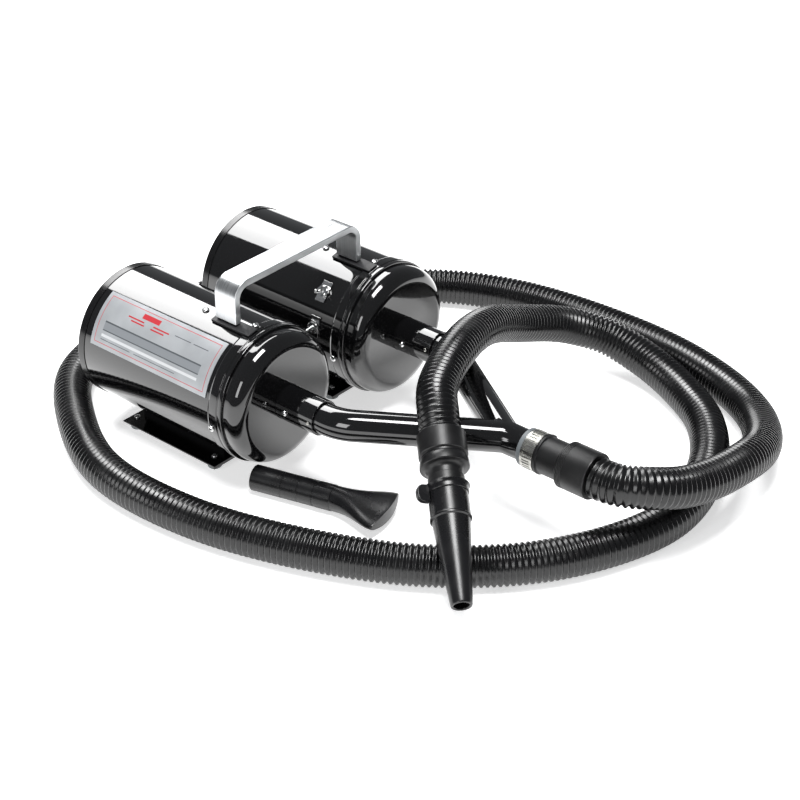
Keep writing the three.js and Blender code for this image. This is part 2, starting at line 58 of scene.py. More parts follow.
# %% Camera
camera_data = bpy.data.cameras.new("studio_camera")
camera_data.lens = 84.18
camera_data.sensor_width = 36
camera = bpy.data.objects.new("studio_camera", camera_data)
camera.location = (-1.2938, -1.1529, 1.1307)
camera.rotation_euler = (math.radians(90 - 31.78), math.radians(-0.08), math.radians(-49.61))
scene.collection.objects.link(camera)
scene.camera = camera
print("camera height in metres:", round(camera.location.z, 3))

# %% [markdown]
# ## Tools for materials
# Colours are written as the hex values a painter would read off a screen, which are sRGB.
# Blender's sockets want linear light, so one function turns them over. Another adds a node
# with its settings and its links in one line, which keeps each finish short.

# %% Colour and node helpers
def colour(hex_text):
    channels = [int(hex_text[k:k + 2], 16) / 255 for k in (1, 3, 5)]
    return [c / 12.92 if c <= 0.04045 else ((c + 0.055) / 1.055) ** 2.4 for c in channels] + [1]


def add_node(tree, kind, settings=(), **inputs):
    """One node: settings are its properties, inputs are values or sockets, by their names."""
    node = tree.nodes.new(kind)
    for name, value in dict(settings).items():
        setattr(node, name, value)
    for name, value in inputs.items():
        socket = node.inputs[int(name[1:])] if name[0] == "i" and name[1:].isdigit() else (
            node.inputs[name.replace("_", " ")])
        if isinstance(value, bpy.types.NodeSocket):
            tree.links.new(value, socket)
        else:
            socket.default_value = value
    return node


def new_finish(name):
    material = bpy.data.materials.new(name)
    material.use_nodes = True
    tree = material.node_tree
    shader = tree.nodes["Principled BSDF"]
    place = add_node(tree, "ShaderNodeTexCoord").outputs["Object"]
    return material, tree, shader, place


def ramp(tree, factor, low, high, start=0.0, end=1.0):
    """Blends two colours or greys as factor goes from start to end."""
    node = add_node(tree, "ShaderNodeValToRGB", Fac=factor)
    node.color_ramp.elements[0].position = start
    node.color_ramp.elements[1].position = end
    node.color_ramp.elements[0].color = low
    node.color_ramp.elements[1].color = high
    return node.outputs["Color"]


def grey(value):
    return (value, value, value, 1)


# %% [markdown]
# ## Gloss black enamel
# The canisters, the Y pipe and the feet plates are steel with a baked black enamel. The eye
# sees the room in it, a little wavy, because the enamel dries with an orange-peel skin about
# 5 mm from hump to hump. The skin is drawn as a faint bump, and dust and wiping dull it in
# patches about 60 mm across.

# %% Enamel
def make_enamel():
    material, tree, shader, place = new_finish("black_enamel_on_steel")
    peel = add_node(tree, "ShaderNodeTexNoise", Vector=place, Scale=200, Detail=2, Roughness=0.4)
    wiped = add_node(tree, "ShaderNodeTexNoise", Vector=place, Scale=17, Detail=4, Roughness=0.6)
    specks = add_node(tree, "ShaderNodeTexNoise", Vector=place, Scale=900, Detail=1)
    shader.inputs["Base Color"].default_value = colour("#0a0a0b")
    shader.inputs["IOR"].default_value = 1.5
    tree.links.new(ramp(tree, wiped.outputs["Fac"], grey(0.045), grey(0.11), 0.35, 0.75),
                   shader.inputs["Roughness"])
    fine = add_node(tree, "ShaderNodeBump", Strength=0.08, Distance=0.00006,
                    Height=specks.outputs["Fac"])
    skin = add_node(tree, "ShaderNodeBump", Strength=0.12, Distance=0.0001,
                    Height=peel.outputs["Fac"], Normal=fine.outputs["Normal"])
    tree.links.new(skin.outputs["Normal"], shader.inputs["Normal"])
    shader.inputs["Coat Weight"].default_value = 0.6
    shader.inputs["Coat IOR"].default_value = 1.5
    shader.inputs["Coat Roughness"].default_value = 0.03
    return material


ENAMEL = make_enamel()

# %% [markdown]
# ## Moulded plastics and rubbers
# The hose, its cuffs and the nozzles are moulded polyethylene and ABS. They shine softly,
# because the mould was lightly blasted: a grain under 1 mm, drawn at 0.7 to 0.9 mm.
# The feet are grey rubber and the handle's pads black rubber, which hardly shine at all.

# %% Plastics and rubbers
def make_moulded(name, dark, light, shine, grain_mm, depth):
    material, tree, shader, place = new_finish(name)
    grain = add_node(tree, "ShaderNodeTexNoise", Vector=place, Scale=1 / (grain_mm * MM), Detail=3,
                     Roughness=0.6)
    cloud = add_node(tree, "ShaderNodeTexNoise", Vector=place, Scale=28, Detail=3, Roughness=0.55)
    tree.links.new(ramp(tree, cloud.outputs["Fac"], colour(dark), colour(light), 0.3, 0.75),
                   shader.inputs["Base Color"])
    tree.links.new(ramp(tree, cloud.outputs["Fac"], grey(shine - 0.05), grey(shine + 0.07), 0.3, 0.7),
                   shader.inputs["Roughness"])
    bump = add_node(tree, "ShaderNodeBump", Strength=0.35, Distance=depth * MM,
                    Height=grain.outputs["Fac"])
    tree.links.new(bump.outputs["Normal"], shader.inputs["Normal"])
    shader.inputs["IOR"].default_value = 1.5
    return material


HOSE_PLASTIC = make_moulded("black_polyethylene_hose", "#050506", "#0a0a0b", 0.24, 0.9, 0.006)
CUFF_PLASTIC = make_moulded("black_vinyl_cuff", "#070708", "#0d0d0e", 0.36, 0.7, 0.012)
NOZZLE_PLASTIC = make_moulded("black_abs_nozzle", "#08080a", "#0f0f11", 0.27, 0.7, 0.01)
CAP_PLASTIC = make_moulded("black_moulded_cap", "#070708", "#0f0f10", 0.2, 0.8, 0.008)
PAD_RUBBER = make_moulded("black_rubber_pad", "#141416", "#202023", 0.55, 0.8, 0.05)
FOOT_RUBBER = make_moulded("grey_rubber_foot", "#7b8082", "#969b9d", 0.62, 0.8, 0.05)
SEAL_RUBBER = make_moulded("translucent_silicone_seal", "#5c6164", "#707578", 0.4, 0.8, 0.02)
FILTER_FOAM = make_moulded("open_cell_filter_foam", "#2c2e30", "#4c4f52", 0.9, 1.6, 0.8)

# %% [markdown]
# ## Bare metals
# The carrying handle is a flat aluminium bar, brushed along its length. The brush lines are
# about 0.3 mm apart, drawn at 0.8 mm so that they show. Since the bar's width runs front to
# back everywhere, a noise that is only fine in Y gives lines that follow the bar round its
# bends. Screws and switches are chromed or stainless, with a faint cloud of fingerprints.

# %% Metals
def make_metal(name, dark, light, low, high, stretch, scale, depth=0.02):
    material, tree, shader, place = new_finish(name)
    drawn = add_node(tree, "ShaderNodeMapping", Vector=place, Scale=stretch)
    lines = add_node(tree, "ShaderNodeTexNoise", Vector=drawn.outputs["Vector"], Scale=scale,
                     Detail=4, Roughness=0.6)
    cloud = add_node(tree, "ShaderNodeTexNoise", Vector=place, Scale=24, Detail=3)
    both = add_node(tree, "ShaderNodeMath", {"operation": "MULTIPLY_ADD"},
                    i0=cloud.outputs["Fac"], i1=0.45, i2=lines.outputs["Fac"])
    tree.links.new(ramp(tree, both.outputs["Value"], colour(dark), colour(light), 0.45, 0.95),
                   shader.inputs["Base Color"])
    tree.links.new(ramp(tree, both.outputs["Value"], grey(low), grey(high), 0.4, 1.0),
                   shader.inputs["Roughness"])
    bump = add_node(tree, "ShaderNodeBump", Strength=0.25, Distance=depth * MM,
                    Height=lines.outputs["Fac"])
    tree.links.new(bump.outputs["Normal"], shader.inputs["Normal"])
    shader.inputs["Metallic"].default_value = 1
    return material


BRUSHED = make_metal("brushed_aluminium", "#b4b7b9", "#d9dbdc", 0.24, 0.4, (0.02, 1, 0.02), 1250)
CHROME = make_metal("chrome_plate", "#c9cacb", "#f0f0ef", 0.06, 0.16, (1, 1, 1), 300)
STAINLESS = make_metal("stainless_strip", "#a7a6a1", "#cfcec8", 0.18, 0.32, (1, 0.05, 1), 1400)
CAST = make_metal("cast_aluminium", "#83868a", "#a9acaf", 0.42, 0.6, (1, 1, 1), 500, 0.2)
WINDING = make_metal("enamelled_copper_winding", "#7c4322", "#b56b3c", 0.3, 0.45, (1, 0.1, 1), 900)

# %% [markdown]
# ## Label film
# A silver-grey printed film is wrapped over the left canister. Its print here is plain: a
# thin red frame, a red badge bar and grey rules that stand for its lines. The print is worked
# out from the film's own UV map, in millimetres along it and across it.

# %% Label film
LABEL_LENGTH, LABEL_HEIGHT = 177.0, 62.6


def make_label_film():
    material, tree, shader, place = new_finish("printed_silver_film")
    uv = add_node(tree, "ShaderNodeUVMap", {"uv_map": "film"}).outputs["UV"]
    split = add_node(tree, "ShaderNodeSeparateXYZ", Vector=uv)
    along = add_node(tree, "ShaderNodeMath", {"operation": "MULTIPLY"},
                     i0=split.outputs["X"], i1=LABEL_LENGTH).outputs["Value"]
    up = add_node(tree, "ShaderNodeMath", {"operation": "MULTIPLY"},
                  i0=split.outputs["Y"], i1=LABEL_HEIGHT).outputs["Value"]

    def near(value, middle, reach):
        return add_node(tree, "ShaderNodeMath", {"operation": "COMPARE"}, i0=value, i1=middle,
                        i2=reach).outputs["Value"]

    def both(a, b):
        return add_node(tree, "ShaderNodeMath", {"operation": "MULTIPLY"}, i0=a,
                        i1=b).outputs["Value"]

    def either(a, b):
        return add_node(tree, "ShaderNodeMath", {"operation": "MAXIMUM"}, i0=a,
                        i1=b).outputs["Value"]

    def block(x0, x1, y0, y1):
        return both(near(along, (x0 + x1) / 2, (x1 - x0) / 2), near(up, (y0 + y1) / 2, (y1 - y0) / 2))

    def inked(under, mask, ink):
        return add_node(tree, "ShaderNodeMix", {"data_type": "RGBA"}, i0=mask, i6=under,
                        i7=colour(ink)).outputs[2]

    frame_outer = block(5, 172, 4.5, 58.2)
    frame_inner = block(5.7, 171.3, 5.2, 57.5)
    frame_line = add_node(tree, "ShaderNodeMath", {"operation": "SUBTRACT"}, i0=frame_outer,
                          i1=frame_inner).outputs["Value"]
    badge = either(block(58, 84, 48.5, 54.5), either(block(40, 64, 44, 45.6), block(78, 102, 44, 45.6)))
    badge = either(badge, either(block(46, 66, 40.6, 42.2), block(76, 96, 40.6, 42.2)))
    dark_rules = either(block(14, 160, 28.5, 30.2), block(14, 160, 19.2, 20.4))
    dark_rules = either(dark_rules, either(block(14, 60, 9.2, 10), block(66, 128, 9.2, 10)))
    dark_rules = either(dark_rules, either(block(110, 134, 46, 46.9), block(138, 160, 46, 46.9)))
    pale_rule = block(14, 160, 12.6, 15.6)
    cloud = add_node(tree, "ShaderNodeTexNoise", Vector=place, Scale=30, Detail=3)
    film = ramp(tree, cloud.outputs["Fac"], colour("#979a9d"), colour("#a9acaf"), 0.3, 0.7)
    film = inked(film, block(14, 160, 20.4, 28.5), "#868a8e")
    film = inked(film, dark_rules, "#55595d")
    film = inked(film, pale_rule, "#cfd1d3")
    film = inked(film, either(frame_line, badge), "#b8323a")
    tree.links.new(film, shader.inputs["Base Color"])
    foil = add_node(tree, "ShaderNodeTexNoise", Vector=place, Scale=1400, Detail=2)
    bump = add_node(tree, "ShaderNodeBump", Strength=0.15, Distance=0.00002,
                    Height=foil.outputs["Fac"])
    tree.links.new(bump.outputs["Normal"], shader.inputs["Normal"])
    shader.inputs["Metallic"].default_value = 0.25
    shader.inputs["Roughness"].default_value = 0.36
    return material


LABEL_FILM = make_label_film()

# %% [markdown]
# ## Tools for shapes
# Most pieces here were turned, spun or moulded round an axis, so one tool spins an outline of
# radius and length. A real edge is never razor sharp, so a second tool bevels every edge that
# folds more than a given angle. The last tool puts the shape in its place, makes it an object,
# and names the measured pieces that it stands for.

# %% Shape helpers
def spun(outline, steps=96, closed=False):
    """Spins (radius, y) points in millimetres round the Y axis. A closed outline is a ring."""
    bm = bmesh.new()
    corners = [bm.verts.new((r * MM, y * MM, 0)) for r, y in outline]
    ends = corners[1:] + (corners[:1] if closed else [])
    edges = [bm.edges.new(pair) for pair in zip(corners, ends)]
    bmesh.ops.spin(bm, geom=corners + edges, cent=(0, 0, 0), axis=(0, 1, 0), angle=math.tau,
                   steps=steps, use_merge=True)
    bmesh.ops.remove_doubles(bm, verts=bm.verts, dist=1e-6)
    bmesh.ops.dissolve_degenerate(bm, dist=1e-7, edges=bm.edges)
    bmesh.ops.recalc_face_normals(bm, faces=bm.faces)
    return bm


def eased(bm, width_mm, segments=2, fold=30):
    """Rounds every edge that folds more than so many degrees."""
    sharp = [e for e in bm.edges if e.is_manifold and e.calc_face_angle() > math.radians(fold)]
    bmesh.ops.bevel(bm, geom=sharp, offset=width_mm * MM, offset_type="OFFSET", affect="EDGES",
                    segments=segments, profile=0.5, material=-1, clamp_overlap=True)
    return bm


def block(x, y, z):
    """A box between two limits on each axis, in millimetres."""
    bm = bmesh.new()
    middle = Vector((sum(x) / 2, sum(y) / 2, sum(z) / 2)) * MM
    size = Matrix.Diagonal(((x[1] - x[0]) * MM, (y[1] - y[0]) * MM, (z[1] - z[0]) * MM, 1))
    bmesh.ops.create_cube(bm, size=1, matrix=Matrix.Translation(middle) @ size)
    return bm


def added(*parts):
    """Several closed shapes in one mesh."""
    whole = bmesh.new()
    for part in parts:
        mesh = bpy.data.meshes.new("part")
        part.to_mesh(mesh)
        part.free()
        whole.from_mesh(mesh)
        bpy.data.meshes.remove(mesh)
    return whole


def combined(base, tool, operation):
    """The base with the tool cut out of it or welded to it, by the Boolean modifier."""
    objects = []
    for bm in (base, tool):
        mesh = bpy.data.meshes.new("part")
        bm.to_mesh(mesh)
        bm.free()
        objects.append(bpy.data.objects.new("part", mesh))
        scene.collection.objects.link(objects[-1])
    modifier = objects[0].modifiers.new("cut", "BOOLEAN")
    modifier.operation = operation
    modifier.object = objects[1]
    modifier.solver = "EXACT"
    bpy.context.view_layer.update()
    result = bmesh.new()
    result.from_object(objects[0], bpy.context.evaluated_depsgraph_get())
    for thing in objects:
        mesh = thing.data
        bpy.data.objects.remove(thing)
        bpy.data.meshes.remove(mesh)
    return result


def piece(name, bm, finish, covers=(), body="machine", place=Matrix(), crease=38,
          weighted=True):
    """Smooth shading, weighted by face size, keeps a flat face flat right up to its rounded edge."""
    bmesh.ops.transform(bm, matrix=place, verts=bm.verts)
    mesh = bpy.data.meshes.new(name)
    bm.to_mesh(mesh)
    bm.free()
    mesh.polygons.foreach_set("use_smooth", [True] * len(mesh.polygons))
    mesh.set_sharp_from_angle(angle=math.radians(crease))
    mesh.materials.append(finish)
    made = bpy.data.objects.new(name, mesh)
    scene.collection.objects.link(made)
    if weighted:
        made.modifiers.new("flat faces", "WEIGHTED_NORMAL").keep_sharp = True
    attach(made, body)
    if covers:
        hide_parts(*covers)
    print(name, len(mesh.polygons), "faces")
    return made


# %% [markdown]
# ## The hose
# The hose is blown polyethylene with a rib every 6.2 mm, 43 mm across its ribs and 3.1 m long.
# It could be a curve with a round section, but then the ribs would only be painted on. Here a
# straight ribbed tube is spun like a lathe part, and then laid along its route: each ring of
# points moves to its own place on a smooth curve through listed points.

# %% Hose route
NOZZLE_START = Vector((-65, -161.7, 121)) * MM
NOZZLE_TIP = Vector((-187, -290, 32)) * MM
NOZZLE_AXIS = (NOZZLE_TIP - NOZZLE_START).normalized()

HOSE_ROUTE = [
    (0, -309.3, 92), (0, -323, 92), (5, -340, 92), (22, -358, 89), (56, -373, 79), (106, -381, 68),
    (165, -382, 59), (215, -371, 45), (262, -347, 33), (302, -311, 25), (334, -258, 22),
    (358, -175, 22), (364, -60, 22), (350, 50, 22), (312, 137, 22), (236, 218, 22), (192, 277, 22),
    (138, 326, 22), (50, 354, 22), (-45, 352, 22), (-128, 325, 22), (-190, 256, 22),
    (-240, 155, 22), (-243, 30, 22), (-207, -103, 22), (-142, -224, 22), (-50, -310, 22),
    (70, -354, 22), (172, -334, 22), (250, -284, 22), (293, -222, 23), (313, -160, 30),
    (308, -110, 43), (275, -74, 60), (205, -60, 87), (125, -71, 122), (50, -94, 137),
    (-28, -128, 136),
]


def smooth_route(points, steps=24):
    """A centripetal Catmull-Rom curve, which passes through its points without loops."""
    ends = [2 * points[0] - points[1], *points, 2 * points[-1] - points[-2]]
    line = []
    for p0, p1, p2, p3 in zip(ends, ends[1:], ends[2:], ends[3:]):
        d0, d1, d2 = [(b - a).length ** 0.5 for a, b in ((p0, p1), (p1, p2), (p2, p3))]
        leave = ((p1 - p0) / d0 - (p2 - p0) / (d0 + d1) + (p2 - p1) / d1) * d1
        arrive = ((p2 - p1) / d1 - (p3 - p1) / (d1 + d2) + (p3 - p2) / d2) * d1
        for k in range(steps):
            t = k / steps
            line.append(((2 * p1 - 2 * p2 + leave + arrive) * t
                         + (3 * p2 - 3 * p1 - 2 * leave - arrive)) * t * t + leave * t + p1)
    return line + [points[-1]]


route = [Vector(p) * MM for p in HOSE_ROUTE]
route += [NOZZLE_START + NOZZLE_AXIS * -0.018, NOZZLE_START + NOZZLE_AXIS * 0.0097]
hose_line = np.array(smooth_route(route))
hose_reach = np.concatenate([[0], np.cumsum(np.linalg.norm(np.diff(hose_line, axis=0), axis=1))])
HOSE_LENGTH = float(hose_reach[-1])
print("hose length in metres:", round(HOSE_LENGTH, 3))

# %% Ribbed hose
RIB_PITCH = 6.2
RIB = [(0.0, 19.2), (0.28, 21.5), (0.55, 21.5), (0.83, 19.2)]


def ribbed_tube():
    ribs = int(HOSE_LENGTH / MM / RIB_PITCH)
    outline = [(0, 0), (19.2, 0)]
    for rib in range(ribs):
        outline += [(radius, (rib + share) * RIB_PITCH + 0.4) for share, radius in RIB]
    outline += [(19.2, HOSE_LENGTH / MM), (0, HOSE_LENGTH / MM)]
    return spun(outline, steps=28)


def laid_along(bm, line, reach):
    """Moves a straight tube about +Y on to a line, turning its rings with the line."""
    heading = np.gradient(line, axis=0)
    heading /= np.linalg.norm(heading, axis=1)[:, None]
    side = np.zeros_like(line)
    side[0] = np.cross(heading[0], (0, 0, 1.0))
    for k in range(1, len(line)):
        carried = side[k - 1] - heading[k] * np.dot(side[k - 1], heading[k])
        side[k] = carried / np.linalg.norm(carried)
    rise = np.cross(side, heading)
    co = np.array([v.co for v in bm.verts])
    along = co[:, 1]
    at, ahead_side, ahead_rise = [
        np.column_stack([np.interp(along, reach, table[:, axis]) for axis in range(3)])
        for table in (line, side, rise)]
    placed = at + ahead_side * co[:, :1] + ahead_rise * co[:, 2:]
    for vert, point in zip(bm.verts, placed):
        vert.co = point
    bmesh.ops.recalc_face_normals(bm, faces=bm.faces)
    return bm


hose = piece("ribbed_hose", laid_along(ribbed_tube(), hose_line, hose_reach), HOSE_PLASTIC,
             ["hose"], crease=80, weighted=False)

# %% [markdown]
# ## Canister shells
# Each canister is a rolled steel tube with a bead and a hem at its front, where the domed front
# cap slides in, and a moulded cap with an air grille at its rear. The tube and caps are spun
# outlines. The grille starts as a disc, is cut across in strips, and loses every other strip.

# %% Canister
AXIS_X, AXIS_Z = 94.5, 92


def canister_place(side):
    return Matrix.Translation(Vector((side * AXIS_X, 0, AXIS_Z)) * MM)


def on_canister(side, degrees, y):
    """Turns +Z to point out of a canister's side at an angle from +X towards +Z."""
    turn = Matrix.Rotation(math.pi / 2 - math.radians(degrees), 4, "Y")
    return canister_place(side) @ Matrix.Translation((0, y * MM, 0)) @ turn


def tube_shell():
    return eased(spun([
        (74.6, 44), (75.8, 44), (76.9, 44.4), (77.3, 45.2), (77.3, 48.2), (76.9, 49),
        (76.2, 49.4), (76.2, 50.2), (76.9, 50.7), (77.3, 51.4), (77.3, 60.4), (77.1, 61.2),
        (76.4, 62.6), (76, 63.6), (76, 254.1), (74.6, 254.1),
    ], 144, closed=True), 0.25, fold=50)


def front_cap():
    outline = [(72.9, 56), (74.3, 56), (74.3, 38)]
    for k in range(13):
        turn = k / 12 * math.pi / 2
        outline.append((58.3 + 16 * math.cos(turn), 36.5 - 16 * math.sin(turn)))
    outline += [(19.8, 20.5), (19.8, 21.9)]
    for k in range(12, -1, -1):
        turn = k / 12 * math.pi / 2
        outline.append((58.3 + 14.6 * math.cos(turn), 36.5 - 14.6 * math.sin(turn)))
    return spun(outline, 144, closed=True)


def cap_rim():
    return eased(spun([
        (71.8, 243.9), (74.3, 243.9), (74.3, 254.4), (76.8, 254.4), (76.8, 263.4),
        (75.4, 264.9), (71.8, 264.9),
    ], 144, closed=True), 0.4)


def cap_grille():
    bm = bmesh.new()
    upright = Matrix.Rotation(math.pi / 2, 4, "X")
    bmesh.ops.create_circle(bm, cap_ends=True, segments=96, radius=62 * MM, matrix=upright)
    rim = [e for e in bm.edges if e.is_boundary]
    grown = bmesh.ops.extrude_edge_only(bm, edges=rim)["geom"]
    bmesh.ops.scale(bm, vec=(73 / 62, 1, 73 / 62),
                    verts=[g for g in grown if isinstance(g, bmesh.types.BMVert)])
    for row in range(-5, 6):
        for edge in (-1.8, 1.8):
            core = [f for f in bm.faces if f.calc_center_median().xz.length < 62 * MM - 1e-5
                    and all(v.co.xz.length < 62.1 * MM for v in f.verts)]
            near = list({g for f in core for g in (*f.verts, *f.edges)})
            bmesh.ops.bisect_plane(bm, geom=core + near, dist=1e-6, plane_no=(0, 0, 1),
                                   plane_co=(0, 0, (row * 11 + edge) * MM))
    slots = [f for f in bm.faces if all(v.co.xz.length < 62.1 * MM for v in f.verts)
             and abs((f.calc_center_median().z / MM + 60.5) % 11 - 5.5) < 1.8]
    bmesh.ops.delete(bm, geom=slots, context="FACES")
    bmesh.ops.recalc_face_normals(bm, faces=bm.faces)
    slab = bmesh.ops.extrude_face_region(bm, geom=bm.faces[:])["geom"]
    bmesh.ops.translate(bm, vec=(0, 2.5 * MM, 0),
                        verts=[g for g in slab if isinstance(g, bmesh.types.BMVert)])
    bmesh.ops.translate(bm, vec=(0, 262.4 * MM, 0), verts=bm.verts)
    bmesh.ops.recalc_face_normals(bm, faces=bm.faces)
    return bm


def outlet_sleeve():
    return eased(spun([
        (17.3, -31), (19.5, -31), (19.5, 22.2), (27, 22.2), (27, 24.2), (17.3, 24.2),
    ], 72, closed=True), 0.4)


for side, name in ((-1, "left"), (1, "right")):
    place = canister_place(side)
    piece(f"canister_shell_{name}", tube_shell(), ENAMEL,
          [f"body_tube_{name}"], place=place)
    piece(f"domed_front_{name}", front_cap(), ENAMEL,
          [f"front_cap_{name}"], place=place)
    piece(f"intake_cap_{name}", added(cap_rim(), cap_grille()), CAP_PLASTIC,
          [f"rear_cap_{name}"], body=f"intake_{name}", place=place)
    piece(f"outlet_socket_{name}", outlet_sleeve(), ENAMEL,
          [f"outlet_sleeve_{name}"], place=place)

# %% [markdown]
# ## Screws
# Pan-head screws with a cross recess hold the caps, the straps and the sleeves. A head is a
# spun dome with two crossed bars cut out of it.

# %% Screws
def pan_screw(head, shank, seat, depth):
    under = seat + 0.3
    bm = spun([
        (0, under - depth), (shank, under - depth), (shank, under), (head, under),
        (head, under + head * 0.24), (head * 0.93, under + head * 0.36),
        (head * 0.8, under + head * 0.48), (head * 0.6, under + head * 0.58),
        (head * 0.34, under + head * 0.64), (0, under + head * 0.66),
    ], 32)
    reach, slot = head * 0.55, head * 0.13
    top = (under + head * 0.3, under + head)
    for across, wide in ((reach, slot), (slot, reach)):
        bm = combined(bm, block((-across, across), top, (-wide, wide)), "DIFFERENCE")
    bmesh.ops.rotate(bm, matrix=Matrix.Rotation(math.pi / 2, 3, "X"), verts=bm.verts)
    return bm


for side, name in ((-1, "left"), (1, "right")):
    for spot, degrees, y, seat in (("top_rear", 97.7, 127, 76), ("top_front", 92, 61, 77.3),
                                   ("side", -171, 58, 77.3)):
        piece(f"pan_screw_{spot}_{name}", pan_screw(3.8, 1.8, seat, 6), CHROME,
              [f"screw_{spot}_{name}"], place=on_canister(side, degrees, y))
    piece(f"outlet_screw_{name}", pan_screw(3.4, 1.4, 19.5, 5.5), CHROME,
          [f"sleeve_screw_{name}"], place=on_canister(side, 180, 7))

# %% [markdown]
# ## Feet plates
# Each canister stands on a folded sheet: a tray with a lip along its front and two ribs that
# cradle the tube. Four grey rubber feet are screwed to it from above. The tray is one box that
# is bevelled and joined to its lip and ribs.

# %% Feet plates and feet
def feet_plate():
    rib_top = 92 - math.sqrt(76 ** 2 - 30 ** 2) - 0.9
    tray = eased(block((-56.5, 56.5), (79, 223), (10.5, 12)), 0.35)
    lip = eased(block((-56.5, 56.5), (79, 80.5), (8.3, 11.4)), 0.35)
    ribs = [eased(block((min(a, b), max(a, b)), (91, 217), (10.7, rib_top)), 0.3)
            for a, b in ((-30, -28.5), (30, 28.5))]
    return added(tray, lip, *ribs)


def rubber_foot():
    bm = eased(spun([(0, 0), (7.4, 0), (8, 1.2), (8, 8.6), (7.5, 10.2), (0, 10.2)], 32), 0.3)
    bmesh.ops.rotate(bm, matrix=Matrix.Rotation(math.pi / 2, 3, "X"), verts=bm.verts)
    return bm


def foot_screw():
    return pan_screw(3.4, 1.9, 12, 2.4)


for side, name in ((-1, "left"), (1, "right")):
    stand = Matrix.Translation((side * AXIS_X * MM, 0, 0))
    piece(f"feet_plate_{name}", feet_plate(), ENAMEL,
          [f"base_plate_{name}"], place=stand)
    for row, y in (("rear", 215.5), ("front", 93.7)):
        for where, x in (("outer", side * 41.5), ("inner", -side * 41.5)):
            spot = stand @ Matrix.Translation((x * MM, y * MM, 0))
            piece(f"rubber_foot_{row}_{where}_{name}", rubber_foot(), FOOT_RUBBER,
                  [f"foot_{row}_{where}_{name}"], place=spot)
            piece(f"foot_screw_{row}_{where}_{name}", foot_screw(), CHROME, place=spot)

# %% [markdown]
# ## Handle, pads and label
# The handle is a flat bar bent twice, which spin and extrude make in the order that a bending
# bench would: a straight leg, a quarter turn, the grip, a quarter turn and a leg. Curved black
# pads spread its load on the tubes. The label follows the left tube.

# %% Handle
def moved(geometry, bm, offset):
    grown = bmesh.ops.extrude_face_region(bm, geom=geometry)["geom"]
    bmesh.ops.translate(bm, vec=Vector(offset) * MM,
                        verts=[g for g in grown if isinstance(g, bmesh.types.BMVert)])
    return [g for g in grown if isinstance(g, bmesh.types.BMFace)]


def bent_bar():
    left, right, bottom, top, thick, bend = -112.9, 84.1, 171, 218, 8, 20
    bm = bmesh.new()
    y0, y1 = 73.9 * MM, 104.3 * MM
    start = [bm.verts.new((x * MM, y, bottom * MM))
             for x, y in ((left, y0), (left + thick, y0), (left + thick, y1), (left, y1))]
    end = [bm.faces.new(start)]
    end = moved(end, bm, (0, 0, top - bend - bottom))
    for centre_x, next_move in ((left + bend, (right - left - 2 * bend, 0, 0)),
                                (right - bend, (0, 0, bottom - top + bend))):
        turned = bmesh.ops.spin(bm, geom=end, cent=(centre_x * MM, 0, (top - bend) * MM),
                                axis=(0, 1, 0), angle=math.pi / 2, steps=16)["geom_last"]
        old = end
        end = [g for g in turned if isinstance(g, bmesh.types.BMFace)]
        bmesh.ops.delete(bm, geom=[f for f in old if f.is_valid], context="FACES_ONLY")
        old = end
        end = moved(end, bm, next_move)
        bmesh.ops.delete(bm, geom=[f for f in old if f.is_valid], context="FACES_ONLY")
    bmesh.ops.remove_doubles(bm, verts=bm.verts, dist=1e-6)
    bmesh.ops.recalc_face_normals(bm, faces=bm.faces)
    return eased(bm, 1.3, 4, fold=60)


def wrapped(inner, outer, from_degrees, to_degrees, front, rear, steps):
    """A curved plate that follows a canister between two angles."""
    bm = bmesh.new()
    corners = [bm.verts.new((r * MM, y * MM, 0))
               for r, y in ((inner, front), (outer, front), (outer, rear), (inner, rear))]
    section = bm.faces.new(corners)
    turn = math.radians(to_degrees - from_degrees)
    bmesh.ops.spin(bm, geom=[section], cent=(0, 0, 0), axis=(0, 1, 0), angle=-turn, steps=steps)
    bmesh.ops.rotate(bm, matrix=Matrix.Rotation(-math.radians(from_degrees), 3, "Y"), verts=bm.verts)
    bmesh.ops.remove_doubles(bm, verts=bm.verts, dist=1e-7)
    inside = [f for f in bm.faces if all(len(e.link_faces) > 2 for e in f.edges)]
    bmesh.ops.delete(bm, geom=inside, context="FACES")
    bmesh.ops.recalc_face_normals(bm, faces=bm.faces)
    return bm


piece("carrying_handle", bent_bar(), BRUSHED, ["handle"])
for side, name in ((-1, "left"), (1, "right")):
    strap = added(eased(wrapped(76.3, 79.3, 95.2, 105.8, 62, 108, 8), 0.6),
                  eased(wrapped(77.6, 79.3, 95.2, 105.8, 53, 62.4, 8), 0.6))
    piece(f"strap_pad_{name}", strap, PAD_RUBBER, [f"handle_pad_{name}"],
          place=canister_place(side))

# %% Label
def label_sheet():
    bm = wrapped(76.3, 76.9, 118, 165, 67.5, 244.5, 24)
    film = bm.loops.layers.uv.new("film")
    for face in bm.faces:
        for loop in face.loops:
            spot = loop.vert.co
            degrees = math.degrees(math.atan2(spot.z, spot.x))
            loop[film].uv = ((244.5 - spot.y / MM) / 177, (165 - degrees) / 47)
    return bm


piece("printed_label", label_sheet(), LABEL_FILM, ["label_plate"],
      place=canister_place(-1))

# %% [markdown]
# ## Switches
# Two chromed toggle switches sit in the right canister. Each has a plate, a hexagon nut on a
# threaded bush and a lever that swings about a ball. The thread is a zigzag outline, spun.

# %% Switches
def threaded_bush():
    outline = [(3.6, 76.7), (3.6, 81)]
    y = 81.0
    while y > 77:
        outline += [(5.3, y), (5.8, y - 0.3)]
        y -= 0.6
    outline += [(5.8, 71), (0, 71), (0, 76.7)]
    bm = spun(outline, 48, closed=True)
    bmesh.ops.rotate(bm, matrix=Matrix.Rotation(math.pi / 2, 3, "X"), verts=bm.verts)
    return bm


